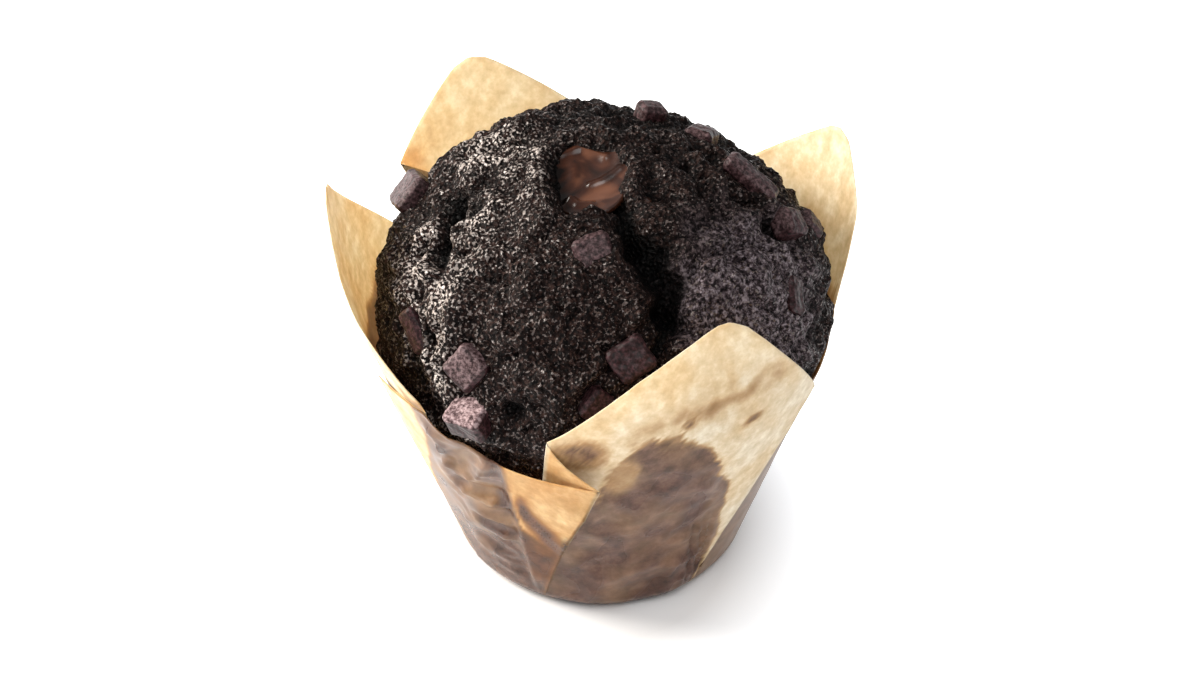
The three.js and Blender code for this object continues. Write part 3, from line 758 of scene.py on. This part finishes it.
def crumb_material():
    """Baked cocoa crumb, almost black. Fat and sugar make its grains glint where the crust is moist,
    and those glints are also painted into its colour as pale specks, a painted highlight; its hollows
    are painted darker, a painted shade. It is dull and greyish on the dry lobe, a grey that is partly
    its own and partly painted light. Its crystals are about as large as coarse sugar."""
    material, tree, shader, place = new_material("cocoa_crumb")
    dry = add_node(tree, "Attribute", {"attribute_name": "dry"}).outputs["Fac"]
    hollow = add_node(tree, "Attribute", {"attribute_name": "hollow"}).outputs["Fac"]
    sugar = add_node(tree, "Attribute", {"attribute_name": "sugar"}).outputs["Fac"]
    grain = add_node(tree, "TexNoise", Vector=place, Scale=1 / (0.8 * MM), Detail=4.0,
                     Roughness=0.65)
    moist = add_node(tree, "ValToRGB", {"stops": [(0.38, "#030202"), (0.52, "#140a08"),
                                                 (0.7, "#3f2d28")]}, Fac=grain.outputs["Fac"])
    # The dry lobe's grey is partly the dry crust's own and partly painted light, lifted to stand in
    # for light on the dome's far right.
    crusty_and_lit = add_node(tree, "ValToRGB", {"stops": [(0.4, "#0f0b0c"), (0.5, "#3c3134"),
                                                  (0.64, "#8b7f83")]}, Fac=grain.outputs["Fac"])
    colour = add_node(tree, "MixRGB", Fac=dry, Color1=moist.outputs["Color"],
                      Color2=crusty_and_lit.outputs["Color"])
    # Painted shade: the colour is multiplied towards #2c2322 in the hollows and cracks.
    dark = add_node(tree, "MixRGB", {"blend_type": "MULTIPLY"}, Fac=hollow,
                    Color1=colour.outputs["Color"], Color2="#2c2322")
    # Painted highlight: pale specks mixed into the base colour stand in for glints of the lamps on
    # the grains, fewer in the hollows.
    crystals = add_node(tree, "TexNoise", Vector=place, Scale=1 / (0.55 * MM), Detail=3.0)
    shifted = add_node(tree, "Math", {"operation": "MULTIPLY_ADD"}, _0=sugar, _1=0.09,
                       _2=crystals.outputs["Fac"])
    painted_glint = add_node(tree, "MapRange", Value=shifted.outputs["Value"], From_Min=0.57,
                     From_Max=0.66)
    dulled = add_node(tree, "MapRange", Value=hollow, To_Min=1.0, To_Max=0.1)
    painted_glint = add_node(tree, "Math", {"operation": "MULTIPLY"}, _0=painted_glint.outputs["Result"],
                     _1=dulled.outputs["Result"]).outputs["Value"]
    glint_colour = add_node(tree, "MixRGB", Fac=sugar, Color1="#4f3e38", Color2="#cdbfb6")
    bright = add_node(tree, "MixRGB", Fac=painted_glint, Color1=dark.outputs["Color"],
                      Color2=glint_colour.outputs["Color"])
    tree.links.new(bright.outputs["Color"], shader.inputs["Base Color"])
    rough = add_node(tree, "MapRange", Value=painted_glint, To_Min=0.55, To_Max=0.25)
    tree.links.new(rough.outputs["Result"], shader.inputs["Roughness"])
    shine = add_node(tree, "MapRange", Value=painted_glint, To_Min=0.08, To_Max=1.0)
    tree.links.new(shine.outputs["Result"], shader.inputs["Specular IOR Level"])
    facets = add_node(tree, "TexVoronoi", Vector=place, Scale=1 / (0.75 * MM))
    relief = add_node(tree, "Math", {"operation": "ADD"}, _0=facets.outputs["Distance"],
                      _1=crystals.outputs["Fac"])
    bump = add_node(tree, "Bump", Strength=1.0, Distance=0.5 * MM, Height=relief.outputs["Value"])
    tree.links.new(bump.outputs["Normal"], shader.inputs["Normal"])
    return material


def sugar_and_glint(points, height):
    """How much fat and sugar the crust holds, which also sets how many glints are painted into its
    colour: a ragged band along SUGAR_GLINT_BAND, patchy, and less where the crust lies low, so that
    the painted glints sit on the ridges."""
    away = distance_to_path(points, on_dome(SUGAR_GLINT_BAND))
    sugar = smooth_bump(away + 3 * noise(points, 6, 53), 0, SUGAR_GLINT_SPREAD)
    sugar = sugar * np.clip(0.9 + 0.7 * noise(points, 4.5, 55), 0.15, 1)
    return sugar * (0.25 + 0.75 * smooth_step(height, -0.7, 0.5))


def fit_in_cup(points):
    """Points of the dome, drawn in towards the axis where they would come nearer to the paper than
    CAKE_GAP, or than LOWER_GAP more below the cake's widest ring."""
    z = points[:, 2]
    angle = np.degrees(np.arctan2(points[:, 1], points[:, 0]))
    room = cup_radius(z) - PAPER_THICKNESS - CAKE_GAP + petal_lean(angle, z)
    room -= LOWER_GAP * (1 - smooth_step(z, 38, 43))
    squeeze = np.minimum(room / np.hypot(points[:, 0], points[:, 1]), 1)
    return points * np.stack([squeeze, squeeze, np.ones_like(squeeze)], -1)


def lower_rings(ring):
    """The dome's border copied to RING_HEIGHTS, each time drawn in to RING_GAP from where the wall is
    half a millimetre lower."""
    width = np.hypot(ring[:, 0], ring[:, 1])
    rings = []
    for z in RING_HEIGHTS:
        inner = cup_radius(z - 0.5) - RING_GAP
        flat = ring[:, :2] * (inner / width)[:, None]
        rings.append(np.column_stack([flat, np.full(len(ring), z)]))
    return rings


def muffin_cake():
    """The dome as a square grid, then its border carried down inside the cup to the floor, which is
    closed by a fan of triangles."""
    u = square_to_dome(CAKE_GRID, CAKE_EDGE)
    smooth, normals = dome(u)
    height, dry = crust_height(u, smooth)
    height = height - crater_depth(smooth)
    # How low the crust lies, for the painted shade in its hollows.
    hollow = np.clip(-height / HOLLOW_SHADE_DEPTH, 0, 1)
    sugar = sugar_and_glint(smooth, height) * (1 - dry)
    grid = fit_in_cup(smooth + height[:, None] * normals)
    number = np.arange(len(grid)).reshape(CAKE_GRID, CAKE_GRID)
    border = np.concatenate([number[0], number[1:, -1], number[-1, -2::-1], number[-2:0:-1, 0]])
    rings = lower_rings(grid[border])
    count = len(border)
    loops = [border]
    loops += [len(grid) + k * count + np.arange(count) for k in range(len(rings))]
    sides = [np.stack([a, np.roll(a, -1), np.roll(b, -1), b], -1)[:, ::-1]
             for a, b in zip(loops[:-1], loops[1:])]
    points = np.vstack([grid, *rings, [[0, 0, RING_HEIGHTS[-1]]]])
    middle = np.full(count, len(points) - 1)
    cap = np.stack([loops[-1], middle, np.roll(loops[-1], -1)], -1)
    inside = (0, len(points) - len(grid))
    return make_piece(
        "cocoa_cake", points, [grid_faces(CAKE_GRID, CAKE_GRID, False), *sides, cap],
        crumb_material(), dry=np.pad(dry, inside), hollow=np.pad(hollow, inside),
        sugar=np.pad(sugar, inside),
    )


cake = muffin_cake()
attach(cake, "root")
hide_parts("muffin_cake")

# ---------------------------------------------------------------- melted chocolate
# Filling that melted in the oven: a glossy pool in the crater near the crown, and a smear that ran
# out of the crust beside it.

POOL_MIDDLE = (-1.9, -5.6)
POOL_SIZE = (6.7, 8.9)  # half its width and length
POOL_GRID = 110  # points along each side of the square that is laid over it
POOL_DEPTH = 3.0  # of its middle below the smooth dome
POOL_EDGE_DEPTH = 1.0
POOL_SINK = 1.3  # by how much more it sags on the left
POOL_SKIN = 1.0

# Folds in its skin, as points on the plan, and their height and half width.
POOL_FOLDS = [
    [(-1.5, -6.2), (0.5, -5.6), (3.1, -3.6)],
    [(-7, -12.6), (-6, -11.6), (-4.9, -10)],
    [(-4.9, -10), (-3.6, -11.4), (-1.5, -11.6)],
    [(-6.5, 1.4), (-3.1, 2.0), (0.8, -0.2)],
]
FOLD_HEIGHT = 0.6
FOLD_WIDTH = 0.8

SMEAR_GRID = 40


def melted_material():
    """Melted chocolate, set again: smooth, glossy and brown, with its colour painted darker towards
    the left of the pool, almost black there: painted shade from the crater's wall."""
    material, tree, shader, place = new_material("melted_chocolate")
    swirl = add_node(tree, "TexNoise", Vector=place, Scale=1 / (6 * MM), Detail=2.0,
                     Distortion=0.6)
    # Painted shade: the colour darkens towards the left of the pool by its X coordinate.
    across = add_node(tree, "SeparateXYZ", Vector=place).outputs["X"]
    thin = add_node(tree, "MapRange", Value=across, From_Min=-8 * MM, From_Max=-3 * MM,
                    To_Min=-0.2, To_Max=0.1)
    depth = add_node(tree, "Math", {"operation": "ADD"}, _0=swirl.outputs["Fac"],
                     _1=thin.outputs["Result"])
    colour = add_node(tree, "ValToRGB", {"stops": [(0.34, "#0e0604"), (0.56, "#371c11"),
                                                  (0.72, "#5f3a28")]}, Fac=depth.outputs["Value"])
    tree.links.new(colour.outputs["Color"], shader.inputs["Base Color"])
    gloss = add_node(tree, "MapRange", Value=across, From_Min=-6 * MM, From_Max=0.0, To_Min=0.15,
                     To_Max=0.5)
    tree.links.new(gloss.outputs["Result"], shader.inputs["Specular IOR Level"])
    shader.inputs["Roughness"].default_value = 0.24
    return material


melted = melted_material()


def melted_pool():
    """A disc that sags inside the crater. It lies below the dome by POOL_DEPTH at its middle, by
    POOL_EDGE_DEPTH at its border, and by the square of the way out in between. It sinks further on
    the left, and its skin has folds and a slow noise."""
    r, turn = square_to_disc(POOL_GRID)
    x = POOL_MIDDLE[0] + POOL_SIZE[0] * r * np.cos(np.radians(turn))
    y = POOL_MIDDLE[1] + POOL_SIZE[1] * r * np.sin(np.radians(turn))
    out = ((x - DOME_CENTRE[0]) ** 2 + y**2) / DOME_SIZE[0] ** 2
    above = DOME_CENTRE[2] + DOME_SIZE[2] * np.sqrt(1 - out)
    points = np.stack([x, y, above - POOL_DEPTH + (POOL_DEPTH - POOL_EDGE_DEPTH) * r**2], -1)
    for fold in POOL_FOLDS:
        path = np.column_stack([np.array(fold), np.zeros(len(fold))])
        away = distance_to_path(points * [1, 1, 0], path)
        points[:, 2] += FOLD_HEIGHT * smooth_bump(away, 0, FOLD_WIDTH)
    points[:, 2] += 0.25 * noise(points, 5, 61) + 0.08 * noise(points, 2, 62)
    points[:, 2] -= POOL_SINK * smooth_step(-x, 3.6, 7.5)
    faces = grid_faces(POOL_GRID, POOL_GRID, False)
    return make_piece("melted_chocolate_pool", points, [faces], melted)


pool = melted_pool()
body = pool.modifiers.new("body", "SOLIDIFY")
body.thickness = POOL_SKIN * MM
body.offset = -1
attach(pool, "root")
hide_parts("melted_pool")


def melted_smear():
    """A soft drop that fills the drip's box, raised by smooth noise into folds."""
    low, high = (np.array(corner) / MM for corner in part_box("melted_drip"))
    u = square_to_dome(SMEAR_GRID, -90)
    ripple = 1 + 0.12 * noise(u * 4, 2.2, 63) + 0.06 * noise(u * 4, 0.9, 64)
    points = (low + high) / 2 + u * (high - low) / 2 * ripple[:, None]
    faces = grid_faces(SMEAR_GRID, SMEAR_GRID, False)
    return make_piece("melted_chocolate_smear", points, [faces], melted)


smear = melted_smear()
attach(smear, "root")
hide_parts("melted_drip")

# ---------------------------------------------------------------- chocolate chunks
# Dark chocolate cut into blocks before baking. The oven's heat has softened their edges, and flour
# and fat bloom have left a dusty grey-purple skin on the faces that stand out; the faces that look up
# towards the lamps are painted paler with it, painted light.

# How dusty the chunks are, from 0, dark and greasy, to 1, and the direction that the dust faces. The
# pale dust is laid on the faces that look up towards the lamps, so it is partly real bloom and partly
# painted light.
DUST_AND_LIGHT = {"01": 0.1, "06": 0.0, "07": 0.16, "08": 0.0, "09": 0.32, "10": 0.75, "11": 0.1, "12": 0.0,
        "13": 0.0}
USUAL_DUST_AND_LIGHT = 0.12
LIT_DUSTY_SIDE = [-0.35, -0.15, 0.92]

CHUNK_VOXEL = 0.16  # size of the cubes that its corners are rounded by
WELD_DISTANCE = 0.001


def chunk_material():
    """Baked dark chocolate: plum brown, finely grainy and dull, with pale dust on upper faces, which
    also stands in for light on the faces towards the lamps, a painted highlight. The grain of its
    bloom is drawn several times as coarse as it really is, so that it shows."""
    material, tree, shader, place = new_material("dark_chocolate")
    dust = add_node(tree, "Attribute", {"attribute_name": "dust"}).outputs["Fac"]
    grain = add_node(tree, "TexNoise", Vector=place, Scale=1 / (0.6 * MM), Detail=4.0,
                     Roughness=0.65)
    bare = add_node(tree, "ValToRGB", {"stops": [(0.36, "#110707"), (0.5, "#2a1819"),
                                                (0.66, "#4a3134")]}, Fac=grain.outputs["Fac"])
    dusty_lit = add_node(tree, "ValToRGB", {"stops": [(0.36, "#3a2829"), (0.48, "#836a6b"),
                                                 (0.62, "#c4abab")]}, Fac=grain.outputs["Fac"])
    colour = add_node(tree, "MixRGB", Fac=dust, Color1=bare.outputs["Color"],
                      Color2=dusty_lit.outputs["Color"])
    tree.links.new(colour.outputs["Color"], shader.inputs["Base Color"])
    rough = add_node(tree, "MapRange", Value=dust, To_Min=0.36, To_Max=0.7)
    tree.links.new(rough.outputs["Result"], shader.inputs["Roughness"])
    shader.inputs["Specular IOR Level"].default_value = 0.16
    bump = add_node(tree, "Bump", Strength=0.7, Distance=0.15 * MM, Height=grain.outputs["Fac"])
    tree.links.new(bump.outputs["Normal"], shader.inputs["Normal"])
    return material


def make_chunk(node, material):
    """The node's block, copied, with its corners rounded and its faces pushed out or in along their
    normals by noise at two sizes. The dust, with painted light, is on the faces that look along
    LIT_DUSTY_SIDE."""
    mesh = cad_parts[node].data.copy()
    mesh.name = node.replace("chocolate", "baked")
    piece = bpy.data.objects.new(mesh.name, mesh)
    bpy.context.scene.collection.objects.link(piece)
    bpy.context.view_layer.objects.active = piece
    weld = piece.modifiers.new("weld", "WELD")
    weld.merge_threshold = WELD_DISTANCE * MM
    rounds = piece.modifiers.new("rounds", "REMESH")
    rounds.mode = "VOXEL"
    rounds.voxel_size = CHUNK_VOXEL * MM
    soften = piece.modifiers.new("soften", "SMOOTH")
    soften.factor = 0.5
    soften.iterations = 1
    bpy.context.view_layer.update()
    finished = piece.evaluated_get(bpy.context.evaluated_depsgraph_get())
    shape = bpy.data.meshes.new_from_object(finished)
    piece.modifiers.clear()
    piece.data = shape
    places = np.empty(len(shape.vertices) * 3)
    outward = np.empty(len(shape.vertices) * 3)
    shape.vertices.foreach_get("co", places)
    shape.vertex_normals.foreach_get("vector", outward)
    points = places.reshape(-1, 3) / MM
    normals = outward.reshape(-1, 3)
    push = 0.2 * noise(points, 3, 71) + 0.09 * noise(points, 1.0, 72)
    # Dust and painted light on the faces that look up towards the lamps.
    dust = DUST_AND_LIGHT.get(node[-2:], USUAL_DUST_AND_LIGHT) * smooth_step(normals @ LIT_DUSTY_SIDE, 0.1, 0.8)
    made = shape.attributes.new("dust", "FLOAT", "POINT")
    made.data.foreach_set("value", dust.astype(np.float32))
    shape.vertices.foreach_set("co", ((points + push[:, None] * normals) * MM).ravel())
    shape.polygons.foreach_set("use_smooth", np.ones(len(shape.polygons), bool))
    shape.materials.clear()
    shape.materials.append(material)
    shape.update()
    return piece


chocolate = chunk_material()
for node in sorted(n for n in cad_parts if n.startswith("chocolate_chunk")):
    chunk = make_chunk(node, chocolate)
    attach(chunk, "root")
    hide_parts(node)

# ---------------------------------------------------------------- table and light
# A white table top that reaches out of sight, a large soft window on the left, a weak fill from
# above the front, and a pale room.

TABLE_REACH = 4000
TABLE_DROP = 0.1  # below the cup's floor, so that the two faces don't meet
SHADE_MIDDLE = (-2, -9, 0)
SHADE_REACH = (25, 43)  # radii between which the table's own glow sets in


def table_material():
    """Matt white board, faintly mottled in clouds about 33 mm across. It glows a little, as an
    over-lit backdrop does, except near the cup, where it keeps the cup's shade."""
    material, tree, shader, place = new_material("matt_white_board")
    mottle = add_node(tree, "TexNoise", Vector=place, Scale=30.0)
    colour = add_node(tree, "MixRGB", Fac=mottle.outputs["Fac"], Color1="#fbfbfb", Color2="#ffffff")
    tree.links.new(colour.outputs["Color"], shader.inputs["Base Color"])
    away = add_node(tree, "VectorMath", {"operation": "DISTANCE"}, _0=place,
                    _1=[MM * v for v in SHADE_MIDDLE])
    glow = add_node(tree, "MapRange", Value=away.outputs["Value"], From_Min=SHADE_REACH[0] * MM,
                    From_Max=SHADE_REACH[1] * MM, To_Min=0.0, To_Max=0.6)
    tree.links.new(glow.outputs["Result"], shader.inputs["Emission Strength"])
    shader.inputs["Emission Color"].default_value = linear("#f4f9ff")
    shader.inputs["Roughness"].default_value = 0.8
    return material


corners = np.array([[-1, -1, 0], [1, -1, 0], [1, 1, 0], [-1, 1, 0]])
table_points = corners * TABLE_REACH - [0, 0, TABLE_DROP]
table = make_piece("table", table_points, [np.array([[0, 1, 2, 3]])], table_material())


def add_light(name, place, target, size, power, tint):
    """A square area light at a place, turned to face a target."""
    data = bpy.data.lights.new(name, "AREA")
    data.shape = "SQUARE"
    data.size = size
    data.energy = power
    data.color = linear(tint)[:3]
    light = bpy.data.objects.new(name, data)
    light.location = place
    away = Vector(place) - Vector(target)
    light.rotation_euler = away.to_track_quat("Z", "Y").to_euler()
    bpy.context.scene.collection.objects.link(light)


muffin_middle = (0, 0, 0.05)
add_light("window", (-0.78, 0.2, 0.46), muffin_middle, 0.5, 17, "#fffaf2")
add_light("fill", (0.1, -0.6, 1.0), muffin_middle, 0.6, 6, "#ffffff")

world = bpy.data.worlds.new("pale_room")
world.use_nodes = True
background = world.node_tree.nodes["Background"]
background.inputs["Color"].default_value = linear("#ffffff")
background.inputs["Strength"].default_value = 0.42
bpy.context.scene.world = world
bpy.context.scene.view_settings.view_transform = "Standard"
